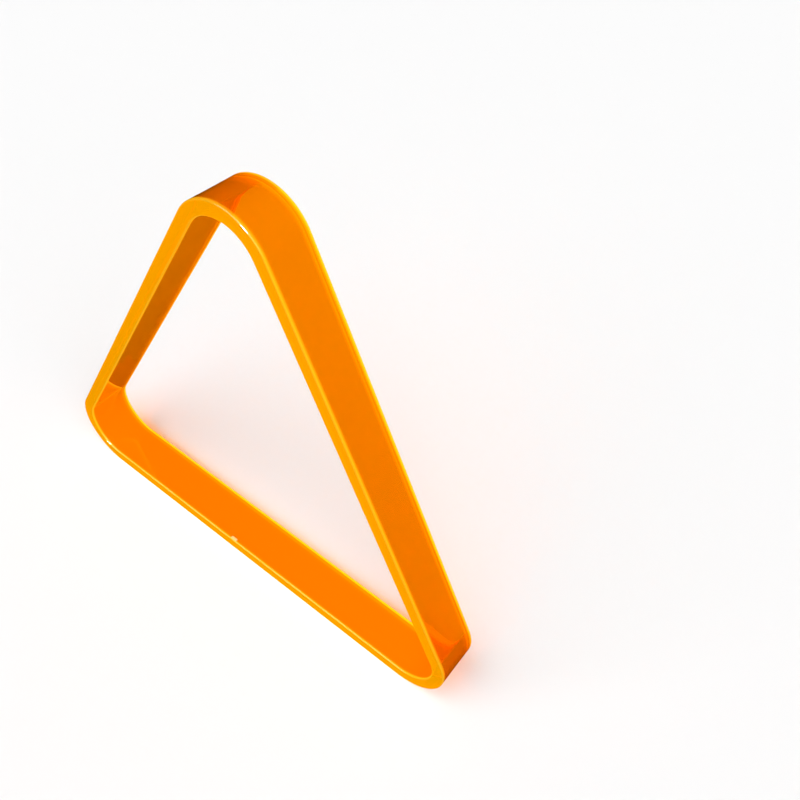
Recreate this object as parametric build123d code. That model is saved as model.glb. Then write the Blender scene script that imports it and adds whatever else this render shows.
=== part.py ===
from build123d import *
import os
from math import radians, sqrt, tan

# A triangle rack for pool balls. The real one is a single injection moulding: three straight walls that
# run into each other through three rounded corners, with two flat rims and smooth faces inside and out.
# It stands on its base wall with the apex up: +X runs along the base wall, +Y from the front rim to the
# rear rim, +Z up. The origin is the middle of the face that it stands on. Sizes are in millimetres.

# What the rack holds
BALL_DIAMETER = 57.15
BALLS_PER_SIDE = 5
RACKING_SLACK = 1.2

# The band
WALL_THICKNESS = 8.0
BAND_DEPTH = 30.0
INNER_CORNER_RADIUS = 22.5
RIM_EDGE_RADIUS = 0.9
CORE_DRAFT_DEG = 0.5

# What is left where the gate was cut off, on the inner face of the base wall beside the front rim and a
# little left of the middle
GATE_OFFSET = -13.0
GATE_WIDTH = 5.0
GATE_THICKNESS = 1.6
GATE_STUB_HEIGHT = 0.6
GATE_EDGE_RADIUS = 0.2

# Worked out. A sharp side is the side of the triangle before its corners are rounded.
SHARP_SIDE_PER_INSET = 2 * sqrt(3)
INRADIUS_PER_SIDE = sqrt(3) / 6
DRAFT_OFFSET = BAND_DEPTH / 2 * tan(radians(CORE_DRAFT_DEG))

row_of_centres = (BALLS_PER_SIDE - 1) * BALL_DIAMETER
inner_side = row_of_centres + SHARP_SIDE_PER_INSET * BALL_DIAMETER / 2 + RACKING_SLACK
outer_side = inner_side + SHARP_SIDE_PER_INSET * WALL_THICKNESS
outer_corner_radius = INNER_CORNER_RADIUS + WALL_THICKNESS
centre_height = outer_side * INRADIUS_PER_SIDE
front_y = -BAND_DEPTH / 2


def rounded_triangle(sharp_side, corner_radius):
    """An equilateral triangle about its own centre, one side down, with rounded corners."""
    reach = sharp_side / sqrt(3)
    corners = [Vector(0, reach).rotate(Axis.Z, turn) for turn in (0, 120, 240)]
    sharp = make_face(Polyline(*corners, close=True))
    return fillet(sharp.vertices(), corner_radius)


def rear_plane():
    """The plane of the rear rim, centred in the triangle. Its normal points at the front rim."""
    return Plane(origin=(0, BAND_DEPTH / 2, centre_height), x_dir=(1, 0, 0), z_dir=(0, -1, 0))


def band():
    """The ring of walls. The space inside narrows a little towards the front, so that the core draws out."""
    rear_side = inner_side + SHARP_SIDE_PER_INSET * DRAFT_OFFSET
    rear_corner_radius = INNER_CORNER_RADIUS + DRAFT_OFFSET
    outside = extrude(rear_plane() * rounded_triangle(outer_side, outer_corner_radius), BAND_DEPTH)
    inside = extrude(
        rear_plane() * rounded_triangle(rear_side, rear_corner_radius),
        BAND_DEPTH,
        taper=CORE_DRAFT_DEG,
    )
    ring = outside - inside
    rims = ring.faces().filter_by(Axis.Y)
    return fillet(rims.edges(), RIM_EDGE_RADIUS)


def gate_stub():
    """A low tab with softened top edges, sunk into the wall so that the two join."""
    wall_face = WALL_THICKNESS + DRAFT_OFFSET
    height = GATE_STUB_HEIGHT + WALL_THICKNESS / 2
    middle_y = front_y + RIM_EDGE_RADIUS + GATE_THICKNESS / 2
    middle_z = wall_face + GATE_STUB_HEIGHT - height / 2
    tab = Pos(GATE_OFFSET, middle_y, middle_z) * Box(GATE_WIDTH, GATE_THICKNESS, height)
    top = tab.faces().sort_by(Axis.Z)[-1]
    return fillet(top.edges(), GATE_EDGE_RADIUS)


def rack_frame():
    return band() + gate_stub()


os.makedirs("parts", exist_ok=True)
export_step(rack_frame(), "parts/rack_frame.step")
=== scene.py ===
from math import cos, exp, log, pi, radians, sin, sqrt, tan

import bpy
from mathutils import Matrix, Vector, noise


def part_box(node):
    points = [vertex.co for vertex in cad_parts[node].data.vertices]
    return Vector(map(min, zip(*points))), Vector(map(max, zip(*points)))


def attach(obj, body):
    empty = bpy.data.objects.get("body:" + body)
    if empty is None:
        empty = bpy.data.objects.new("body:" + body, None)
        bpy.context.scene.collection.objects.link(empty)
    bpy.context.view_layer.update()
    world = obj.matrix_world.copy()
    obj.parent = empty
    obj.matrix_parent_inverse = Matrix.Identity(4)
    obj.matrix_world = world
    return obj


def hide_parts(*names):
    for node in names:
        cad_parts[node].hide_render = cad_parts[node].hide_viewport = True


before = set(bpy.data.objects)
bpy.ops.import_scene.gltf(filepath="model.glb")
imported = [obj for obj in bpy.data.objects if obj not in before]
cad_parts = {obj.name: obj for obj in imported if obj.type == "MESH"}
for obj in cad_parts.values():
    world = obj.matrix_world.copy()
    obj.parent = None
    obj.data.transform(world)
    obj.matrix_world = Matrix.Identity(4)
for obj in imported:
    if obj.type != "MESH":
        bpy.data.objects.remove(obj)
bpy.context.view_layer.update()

# A transparent orange pool rack, moulded in one piece. It stands on its base wall with the apex up: +X along
# the base wall, +Y from the front rim to the rear rim, +Z up. Lengths are in metres.
MM = 0.001

# ---------------------------------------------------------------- the rack's sizes

WALL = 8.0 * MM
CORNER_RADIUS = 30.5 * MM
EDGE_RADIUS = 0.9 * MM
CORE_DRAFT = radians(0.5)
GATE_OFFSET = -13.0 * MM
GATE_WIDTH = 5.0 * MM
GATE_THICKNESS = 1.6 * MM
GATE_STUB_HEIGHT = 0.6 * MM
# How wide the stub's sloping sides and ends are, and how much of the wall round it has the finer mesh
GATE_SIDE_SLOPE = 0.4 * MM
GATE_END_SLOPE = 0.3 * MM
GATE_SURROUND = 1.0 * MM

# How far the moulded faces stray from flat: a shallow sink along the middle and a slow ripple
SINK_DEPTH = 0.03 * MM
RIPPLE_HEIGHT = 0.09 * MM
RIPPLE_LENGTH = 34 * MM
# The ripple changes more slowly across the band than along it, and the inner face has a ripple of its own
RIPPLE_ACROSS = 0.45
RIPPLE_SHIFT = 300 * MM

rack_low, rack_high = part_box("rack_frame")
DEPTH = rack_high.y - rack_low.y
FLAT_LENGTH = (rack_high.z - rack_low.z - 2 * CORNER_RADIUS) / (sqrt(3) / 2)
CORNERS = {
    "right": Vector((FLAT_LENGTH / 2, 0, CORNER_RADIUS)),
    "apex": Vector((0, 0, CORNER_RADIUS + FLAT_LENGTH * sqrt(3) / 2)),
    "left": Vector((-FLAT_LENGTH / 2, 0, CORNER_RADIUS)),
}

# How far the rims' look, their painted lighter colour, painted glow and roughness, reaches down the walls
RIM_REACH = 0.35 * MM

# ---------------------------------------------------------------- the mesh

WALL_STEP = 2.0 * MM
GATE_STEP = 0.2 * MM
# Only the base wall's stations look further down than this
FACING_DOWN = -0.999
CORNER_STEPS = 56
EDGE_STEPS = 6
FACE_STEP = 1.25 * MM
SUPPORT_STEP = 0.15 * MM


def spaced(start, end, step):
    """Numbers from start to just before end, evenly spaced by about step."""
    count = max(1, round(abs(end - start) / step))
    return [start + (end - start) * i / count for i in range(count)]


def wall_stations(start, end, outward, spots):
    """Stations along one straight wall: where it is on the outer face, and which way the face looks."""
    return [(start.lerp(end, spot), outward) for spot in spots]


def corner_stations(centre, first_angle):
    """Stations round one corner, a third of a turn from first_angle."""
    stations = []
    for i in range(CORNER_STEPS):
        angle = first_angle + 2 * pi / 3 * i / CORNER_STEPS
        outward = Vector((cos(angle), 0, sin(angle)))
        stations.append((centre + CORNER_RADIUS * outward, outward))
    return stations


def base_spots():
    """Places along the base wall, from 0 to 1, closer together at the gate."""
    near = (GATE_WIDTH / 2 + GATE_SURROUND) / FLAT_LENGTH
    coarse, fine = WALL_STEP / FLAT_LENGTH, GATE_STEP / FLAT_LENGTH
    middle = 0.5 + GATE_OFFSET / FLAT_LENGTH
    spots = spaced(0, middle - near, coarse) + spaced(middle - near, middle + near, fine)
    return spots + spaced(middle + near, 1, coarse)


def outline():
    """Every station round the rack, anticlockwise from the left end of the base wall, seen from the front."""
    even = spaced(0, 1, WALL_STEP / FLAT_LENGTH)
    order = [("left", "right", -90), ("right", "apex", 30), ("apex", "left", 150)]
    stations = []
    for here, there, degrees_out in order:
        angle = radians(degrees_out)
        outward = Vector((cos(angle), 0, sin(angle)))
        start = CORNERS[here] + CORNER_RADIUS * outward
        end = CORNERS[there] + CORNER_RADIUS * outward
        spots = base_spots() if degrees_out == -90 else even
        stations += wall_stations(start, end, outward, spots)
        stations += corner_stations(CORNERS[there], angle)
    return stations


def inner_inset(y):
    """How far the inner face is from the outer one: further at the front, for the core's draft."""
    return WALL - y * tan(CORE_DRAFT)


def edge_arc(inset, y, first_angle):
    """A rounded edge of the band's section about (inset, y), a quarter turn from first_angle."""
    arc = []
    for i in range(EDGE_STEPS + 1):
        angle = first_angle + pi / 2 * i / EDGE_STEPS
        arc.append((inset + EDGE_RADIUS * cos(angle), y + EDGE_RADIUS * sin(angle), "rim"))
    return arc


def section():
    """The band's section as (inset, y, face), once round: outer face, front rim, inner face, rear rim."""
    front, rear = -DEPTH / 2 + EDGE_RADIUS, DEPTH / 2 - EDGE_RADIUS
    front_inset = inner_inset(front) - EDGE_RADIUS
    rear_inset = inner_inset(rear) - EDGE_RADIUS
    gate_end = front + GATE_THICKNESS + 2 * SUPPORT_STEP
    outer = [(0, y, "outer") for y in spaced(rear - SUPPORT_STEP, front + SUPPORT_STEP, FACE_STEP)]
    outer.append((0, front + SUPPORT_STEP, "outer"))
    inner_ys = spaced(front + SUPPORT_STEP, gate_end, SUPPORT_STEP)
    inner_ys += spaced(gate_end, rear - SUPPORT_STEP, FACE_STEP)
    inner = [(inner_inset(y), y, "inner") for y in inner_ys]
    inner.append((inner_inset(rear - SUPPORT_STEP), rear - SUPPORT_STEP, "inner"))
    front_rim = [(u, -DEPTH / 2, "rim") for u in spaced(EDGE_RADIUS, front_inset, FACE_STEP)[1:]]
    rear_rim = [(u, DEPTH / 2, "rim") for u in spaced(rear_inset, EDGE_RADIUS, FACE_STEP)[1:]]
    points = outer + edge_arc(EDGE_RADIUS, front, pi)
    points += front_rim + edge_arc(front_inset, front, -pi / 2)
    points += inner + edge_arc(rear_inset, rear, 0)
    points += rear_rim + edge_arc(EDGE_RADIUS, rear, pi / 2)
    return points


def softened(distance, half_width, edge):
    """1 inside half_width of 0, easing down to 0 over edge."""
    t = max(0.0, min(1.0, (half_width - abs(distance)) / edge))
    return t * t * (3 - 2 * t)


def hollow(place, y):
    """How far a moulded face lies below its true plane, from 0 to SINK_DEPTH + RIPPLE_HEIGHT."""
    across = max(0.0, 1 - (2 * y / (DEPTH - 2 * EDGE_RADIUS)) ** 2)
    ripple = 0.5 + 0.5 * noise.noise(Vector((place.x, y * RIPPLE_ACROSS, place.z)) / RIPPLE_LENGTH)
    return across * (SINK_DEPTH + ripple * RIPPLE_HEIGHT)


def gate_height(place, y, outward):
    """The height of the gate's stub on the inner face of the base wall."""
    if outward.z > FACING_DOWN:
        return 0.0
    middle = -DEPTH / 2 + EDGE_RADIUS + GATE_THICKNESS / 2
    width = softened(place.x - GATE_OFFSET, GATE_WIDTH / 2, GATE_SIDE_SLOPE)
    thickness = softened(y - middle, (GATE_THICKNESS + GATE_END_SLOPE) / 2, GATE_END_SLOPE)
    return GATE_STUB_HEIGHT * width * thickness


def band_point(station, mark):
    """The place in space of one point of the section at one station."""
    place, outward = station
    inset, y, face = mark
    if face == "outer":
        inset += hollow(place, y)
    if face == "inner":
        inset += gate_height(place, y, outward) - hollow(place - RIPPLE_SHIFT * outward, y)
    point = place - inset * outward
    return Vector((point.x, y, point.z))


# This sets where the rims' painted lighter colour and painted glow go, and their roughness
def near_rim(_, mark):
    """1 on a rim and its rounded edges, fading quickly down the walls."""
    _, y, face = mark
    gap = DEPTH / 2 - EDGE_RADIUS - abs(y)
    return 1.0 if face == "rim" else exp(-max(0.0, gap) / RIM_REACH)


def painted_edge_highlight(station, mark):
    """Where the painted edge highlight goes: 1 along the middle of a rounded edge, 0 away from the edges."""
    inset, y, _ = mark
    across = min(inset, inner_inset(y) - inset)
    return softened(across, EDGE_RADIUS, EDGE_RADIUS / 2) * near_rim(station, mark)


def painted_gate_highlight(station, mark):
    """Where the painted gate highlight goes: 1 on top of the cut gate, 0 away from it."""
    place, outward = station
    _, y, face = mark
    return gate_height(place, y, outward) / GATE_STUB_HEIGHT if face == "inner" else 0.0


def rack_mesh():
    """The whole band as one closed skin. Each point knows how near it is to a rim, an edge and the gate,
    which place the painted rim colour, glow and highlights.
    """
    stations, marks = outline(), section()
    ring = len(marks)
    points = [band_point(s, m) for s in stations for m in marks]
    faces = []
    for i in range(len(stations)):
        after = (i + 1) % len(stations)
        for j in range(ring):
            k = (j + 1) % ring
            faces.append((i * ring + j, after * ring + j, after * ring + k, i * ring + k))
    mesh = bpy.data.meshes.new("rack")
    mesh.from_pydata(points, [], faces)
    mesh.update()
    for name, share in (("near_rim", near_rim), ("painted_edge_highlight", painted_edge_highlight), ("painted_gate_highlight", painted_gate_highlight)):
        paint = mesh.attributes.new(name, "FLOAT", "POINT")
        paint.data.foreach_set("value", [share(s, m) for s in stations for m in marks])
    mesh.shade_smooth()
    return mesh


# ---------------------------------------------------------------- material


class Nodes:
    """Short calls for building a node material."""

    def __init__(self, name):
        self.material = bpy.data.materials.new(name)
        self.material.use_nodes = True
        self.tree = self.material.node_tree
        self.tree.nodes.clear()

    def add(self, kind, **inputs):
        node = self.tree.nodes.new(kind)
        for name, value in inputs.items():
            self.put(node.inputs[name.replace("_", " ")], value)
        return node

    def put(self, socket, value):
        if isinstance(value, bpy.types.NodeSocket):
            self.tree.links.new(value, socket)
        else:
            socket.default_value = value

    def attribute(self, name):
        node = self.tree.nodes.new("ShaderNodeAttribute")
        node.attribute_name = name
        return node

    def math(self, operation, *values):
        node = self.tree.nodes.new("ShaderNodeMath")
        node.operation = operation
        for socket, value in zip(node.inputs, values):
            self.put(socket, value)
        return node.outputs[0]

    def mix(self, factor, first, second):
        node = self.tree.nodes.new("ShaderNodeMix")
        node.data_type = "RGBA"
        self.put(node.inputs["Factor"], factor)
        self.put(node.inputs["A"], first)
        self.put(node.inputs["B"], second)
        return node.outputs["Result"]

    def ramp(self, value, low, high):
        node = self.tree.nodes.new("ShaderNodeMapRange")
        node.interpolation_type = "SMOOTHSTEP"
        self.put(node.inputs["Value"], value)
        self.put(node.inputs["From Min"], low)
        self.put(node.inputs["From Max"], high)
        return node.outputs["Result"]

    def noise(self, vector, scale, detail):
        node = self.add("ShaderNodeTexNoise", Vector=vector, Scale=scale, Detail=detail)
        return node.outputs[0]


REFRACTIVE_INDEX = 1.49
WALL_ORANGE = (1.0, 0.38, 0.0, 1)
# The rims' painted amber: a lighter, yellower copy of the walls' orange for the light gathered in the rims
RIM_PAINTED_AMBER = (1.0, 0.52, 0.0, 1)
# How much of each colour passes through one wall
PASSED = (0.76, 0.46, 0.04)
# The painted glow, light that the plastic gives out though it is no lamp: low in the walls, brighter at the
# rims, and painted highlights along their edges and on the cut gate
WALL_PAINTED_GLOW = (0.11, 0.05, 0.0, 1)
RIM_PAINTED_GLOW = (0.52, 0.30, 0.0, 1)
# Painted highlight along the rounded rim edges
EDGE_PAINTED_HIGHLIGHT = (0.60, 0.37, 0.01, 1)
# Painted highlight on the real cut gate stub
GATE_PAINTED_HIGHLIGHT = (0.80, 0.50, 0.22, 1)
# The walls are polished. The rims, where the mould parts, are a little less so, and all is worn by handling
WALL_ROUGHNESS = 0.015
RIM_ROUGHNESS = 0.06
WEAR_ROUGHNESS = 0.05
SCRATCH_DEPTH = 0.004 * MM
SCRATCH_SPACING = 0.5 * MM
SCRATCH_RUN = 16 * MM
SCRATCH_ROUGHNESS = 0.1
# The two ways that the scratches lie, as turns about X, Y and Z in radians
SCRATCH_TURNS = ((0.3, 0.5, 0.2), (1.1, 0.2, 0.9))
# From where to where in the noise a scratch, a run of scratches and a worn patch come in
SCRATCH_START, SCRATCH_FULL = 0.74, 0.78
RUN_START, RUN_FULL = 0.52, 0.60
WEAR_START, WEAR_FULL = 0.50, 0.75
# How fine the runs and the worn patches are, in spots for each metre, and how broken their borders
RUN_SCALE, RUN_DETAIL = 60.0, 1.0
WEAR_SCALE, WEAR_DETAIL = 25.0, 4.0
# How much of the plastic is clear. The rest is faintly milky
CLEARNESS = 0.95


def scratches(n, place, turn):
    """Fine straight scratches, 0 or 1, in short runs that lie along one direction."""
    cell = (SCRATCH_SPACING, SCRATCH_RUN, SCRATCH_SPACING)
    turned = n.add("ShaderNodeMapping", Vector=place, Rotation=turn, Scale=cell)
    turned.vector_type = "TEXTURE"
    lines = n.noise(turned.outputs[0], 1.0, 0.0)
    runs = n.noise(place, RUN_SCALE, RUN_DETAIL)
    lines = n.ramp(lines, SCRATCH_START, SCRATCH_FULL)
    return n.math("MULTIPLY", lines, n.ramp(runs, RUN_START, RUN_FULL))


def orange_acrylic():
    """Clear dyed plastic with a painted glow, brighter at the rims, and painted highlights on its edges and
    gate; polished but worn and finely scratched.
    """
    n = Nodes("orange_acrylic")
    place = n.add("ShaderNodeTexCoord").outputs["Object"]
    rim = n.attribute("near_rim").outputs["Fac"]
    shader = n.add("ShaderNodeBsdfPrincipled")
    # The rims get the painted lighter amber over the walls' own orange
    n.put(shader.inputs["Base Color"], n.mix(rim, WALL_ORANGE, RIM_PAINTED_AMBER))
    shader.inputs["IOR"].default_value = REFRACTIVE_INDEX
    shader.inputs["Transmission Weight"].default_value = CLEARNESS
    # Painted glow in the walls and rims, then painted highlights on the edges and the gate
    painted_glow = n.mix(rim, WALL_PAINTED_GLOW, RIM_PAINTED_GLOW)
    painted_glow = n.mix(n.attribute("painted_edge_highlight").outputs["Fac"], painted_glow, EDGE_PAINTED_HIGHLIGHT)
    painted_glow = n.mix(n.attribute("painted_gate_highlight").outputs["Fac"], painted_glow, GATE_PAINTED_HIGHLIGHT)
    n.put(shader.inputs["Emission Color"], painted_glow)
    shader.inputs["Emission Strength"].default_value = 1.0

    one_way, other_way = (scratches(n, place, turn) for turn in SCRATCH_TURNS)
    marks = n.math("MAXIMUM", one_way, other_way)
    worn = n.ramp(n.noise(place, WEAR_SCALE, WEAR_DETAIL), WEAR_START, WEAR_FULL)
    polish = n.math("MULTIPLY_ADD", rim, RIM_ROUGHNESS - WALL_ROUGHNESS, WALL_ROUGHNESS)
    polish = n.math("MULTIPLY_ADD", worn, WEAR_ROUGHNESS, polish)
    n.put(shader.inputs["Roughness"], n.math("MULTIPLY_ADD", marks, SCRATCH_ROUGHNESS, polish))
    bump = n.add("ShaderNodeBump", Height=marks, Distance=SCRATCH_DEPTH, Strength=1.0)
    bump.invert = True
    n.put(shader.inputs["Normal"], bump.outputs[0])

    volume = n.add("ShaderNodeVolumeAbsorption")
    loss = [-log(passed) / WALL for passed in PASSED]
    densest = max(loss)
    volume.inputs["Density"].default_value = densest
    volume.inputs["Color"].default_value = (*[1 - x / densest for x in loss], 1)
    out = n.add("ShaderNodeOutputMaterial")
    n.put(out.inputs["Surface"], shader.outputs[0])
    n.put(out.inputs["Volume"], volume.outputs[0])
    return n.material


def make_rack():
    """The rack that stands for the CAD one."""
    rack = bpy.data.objects.new("rack", rack_mesh())
    bpy.context.scene.collection.objects.link(rack)
    rack.data.materials.append(orange_acrylic())
    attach(rack, "root")
    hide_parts("rack_frame")


# ---------------------------------------------------------------- studio

FLOOR_SIZE = 60.0
FLOOR_LEVEL = -0.2 * MM
FLOOR_WHITE = (0.86, 0.86, 0.86, 1)
FLOOR_ROUGHNESS = 0.6
# How bright the backdrop is
BACKDROP = 0.93
RACK_MIDDLE = (0, 0, 0.12)
# The soft lights: the direction each comes from, its strength, and how many degrees of sky it fills
KEY_FROM, KEY_STRENGTH, KEY_SPREAD = (-0.9, -2.4, 3.6), 3.1, 64
FILL_FROM, FILL_STRENGTH, FILL_SPREAD = (2.4, -1.6, 3.0), 1.5, 50
# The small lamp that draws the glints: where it is, how wide, and its power
GLINT_PLACE, GLINT_SIZE, GLINT_WATTS = (0.15, -0.95, 0.95), 0.24, 130


def matt(name, colour):
    """A plain matt material with no sheen of its own."""
    n = Nodes(name)
    shader = n.add("ShaderNodeBsdfPrincipled", Base_Color=colour, Roughness=FLOOR_ROUGHNESS)
    shader.inputs["Specular IOR Level"].default_value = 0.0
    out = n.add("ShaderNodeOutputMaterial")
    n.put(out.inputs["Surface"], shader.outputs[0])
    return n.material


def make_floor():
    """A plain pale floor. The rack's polished faces don't reflect it."""
    mesh = bpy.data.meshes.new("floor")
    half = FLOOR_SIZE / 2
    corners = [(-half, -half, 0), (half, -half, 0), (half, half, 0), (-half, half, 0)]
    mesh.from_pydata(corners, [], [(0, 1, 2, 3)])
    floor = bpy.data.objects.new("floor", mesh)
    bpy.context.scene.collection.objects.link(floor)
    mesh.materials.append(matt("floor_white", FLOOR_WHITE))
    floor.location.z = FLOOR_LEVEL
    floor.visible_glossy = False


def make_world():
    """A pale backdrop that's seen directly and through the rack. It lights nothing and isn't reflected."""
    world = bpy.data.worlds.new("studio")
    bpy.context.scene.world = world
    world.use_nodes = True
    background = world.node_tree.nodes["Background"]
    background.inputs["Color"].default_value = (1, 1, 1, 1)
    background.inputs["Strength"].default_value = BACKDROP
    world.cycles_visibility.diffuse = False
    world.cycles_visibility.glossy = False


def aim(lamp, place, target):
    """Stand the lamp at place, turned towards target."""
    lamp.location = place
    lamp.rotation_euler = (Vector(target) - Vector(place)).to_track_quat("-Z", "Y").to_euler()


def make_soft_light(name, place, strength, spread):
    """An even light from far away in place's direction, as soft as a sky of that angular width."""
    data = bpy.data.lights.new(name, "SUN")
    data.energy = strength
    data.angle = radians(spread)
    lamp = bpy.data.objects.new(name, data)
    bpy.context.scene.collection.objects.link(lamp)
    aim(lamp, place, RACK_MIDDLE)


def make_glint(name, place, size, watts):
    """A small lamp that only shows as a glint on polished edges."""
    data = bpy.data.lights.new(name, "AREA")
    data.size = size
    data.energy = watts
    lamp = bpy.data.objects.new(name, data)
    bpy.context.scene.collection.objects.link(lamp)
    lamp.visible_diffuse = False
    lamp.visible_transmission = False
    aim(lamp, place, RACK_MIDDLE)


def make_lights():
    make_soft_light("key", KEY_FROM, KEY_STRENGTH, KEY_SPREAD)
    make_soft_light("fill", FILL_FROM, FILL_STRENGTH, FILL_SPREAD)
    make_glint("glint", GLINT_PLACE, GLINT_SIZE, GLINT_WATTS)


# The painted pool of light under the base wall and its left corner, glowing strips that light nothing: each
# one's middle and half size, along X and Y
LIGHT_TABLES = [((0.0, 0.0), (0.170, 0.022)), ((-0.160, 0.0), (0.060, 0.060))]
LIGHT_TABLE_LEVEL = -0.05 * MM
LIGHT_TABLE_GLOW = (1.0, 0.70, 0.38, 1)
LIGHT_TABLE_STRENGTH = 1.2


def make_light_table():
    """Glowing strips under the base wall that paint a pool of light there. Only what is seen through the rack
    shows them.
    """
    n = Nodes("light_table")
    painted_glow = n.add("ShaderNodeEmission", Color=LIGHT_TABLE_GLOW, Strength=LIGHT_TABLE_STRENGTH)
    out = n.add("ShaderNodeOutputMaterial")
    n.put(out.inputs["Surface"], painted_glow.outputs[0])
    corners = []
    for (x, y), (along, across) in LIGHT_TABLES:
        corners += [(x + sx * along, y + sy * across, 0) for sx, sy in ((-1, -1), (1, -1), (1, 1), (-1, 1))]
    mesh = bpy.data.meshes.new("light_table")
    mesh.from_pydata(corners, [], [tuple(range(i, i + 4)) for i in range(0, len(corners), 4)])
    mesh.materials.append(n.material)
    table = bpy.data.objects.new("light_table", mesh)
    bpy.context.scene.collection.objects.link(table)
    table.location.z = LIGHT_TABLE_LEVEL
    table.visible_camera = False
    table.visible_diffuse = False
    table.visible_shadow = False
    table.visible_glossy = False


# The camera's aim and distance are in metres, its angles in degrees
CAMERA_AIM = (0.0924, 0.0, 0.2135)
CAMERA_DISTANCE = 0.3608
CAMERA_AZIMUTH = 31.34
CAMERA_ELEVATION = 47.38
CAMERA_ROLL = 7.91
CAMERA_LENS_MM = 36.42
# Nothing nearer to the camera than this is drawn
CAMERA_NEAR = 0.01


def make_camera():
    """Azimuth 0 looks along +Y and 90 along -X. Roll turns the picture anticlockwise."""
    data = bpy.data.cameras.new("camera")
    data.lens = CAMERA_LENS_MM
    data.clip_start = CAMERA_NEAR
    camera = bpy.data.objects.new("camera", data)
    bpy.context.scene.collection.objects.link(camera)
    azimuth, elevation = radians(CAMERA_AZIMUTH), radians(CAMERA_ELEVATION)
    flat = Vector((-sin(azimuth), cos(azimuth), 0))
    ahead = flat * cos(elevation) - Vector((0, 0, sin(elevation)))
    right = ahead.cross(Vector((0, 0, 1))).normalized()
    up = right.cross(ahead)
    roll = radians(CAMERA_ROLL)
    rolled_right = right * cos(roll) + up * sin(roll)
    rolled_up = up * cos(roll) - right * sin(roll)
    turn = Matrix((rolled_right, rolled_up, -ahead)).transposed()
    camera.matrix_world = Matrix.Translation(Vector(CAMERA_AIM) - CAMERA_DISTANCE * ahead) @ turn.to_4x4()
    bpy.context.scene.camera = camera


make_rack()
make_floor()
make_world()
make_lights()
make_camera()
make_light_table()
bpy.context.scene.view_settings.view_transform = "Standard"
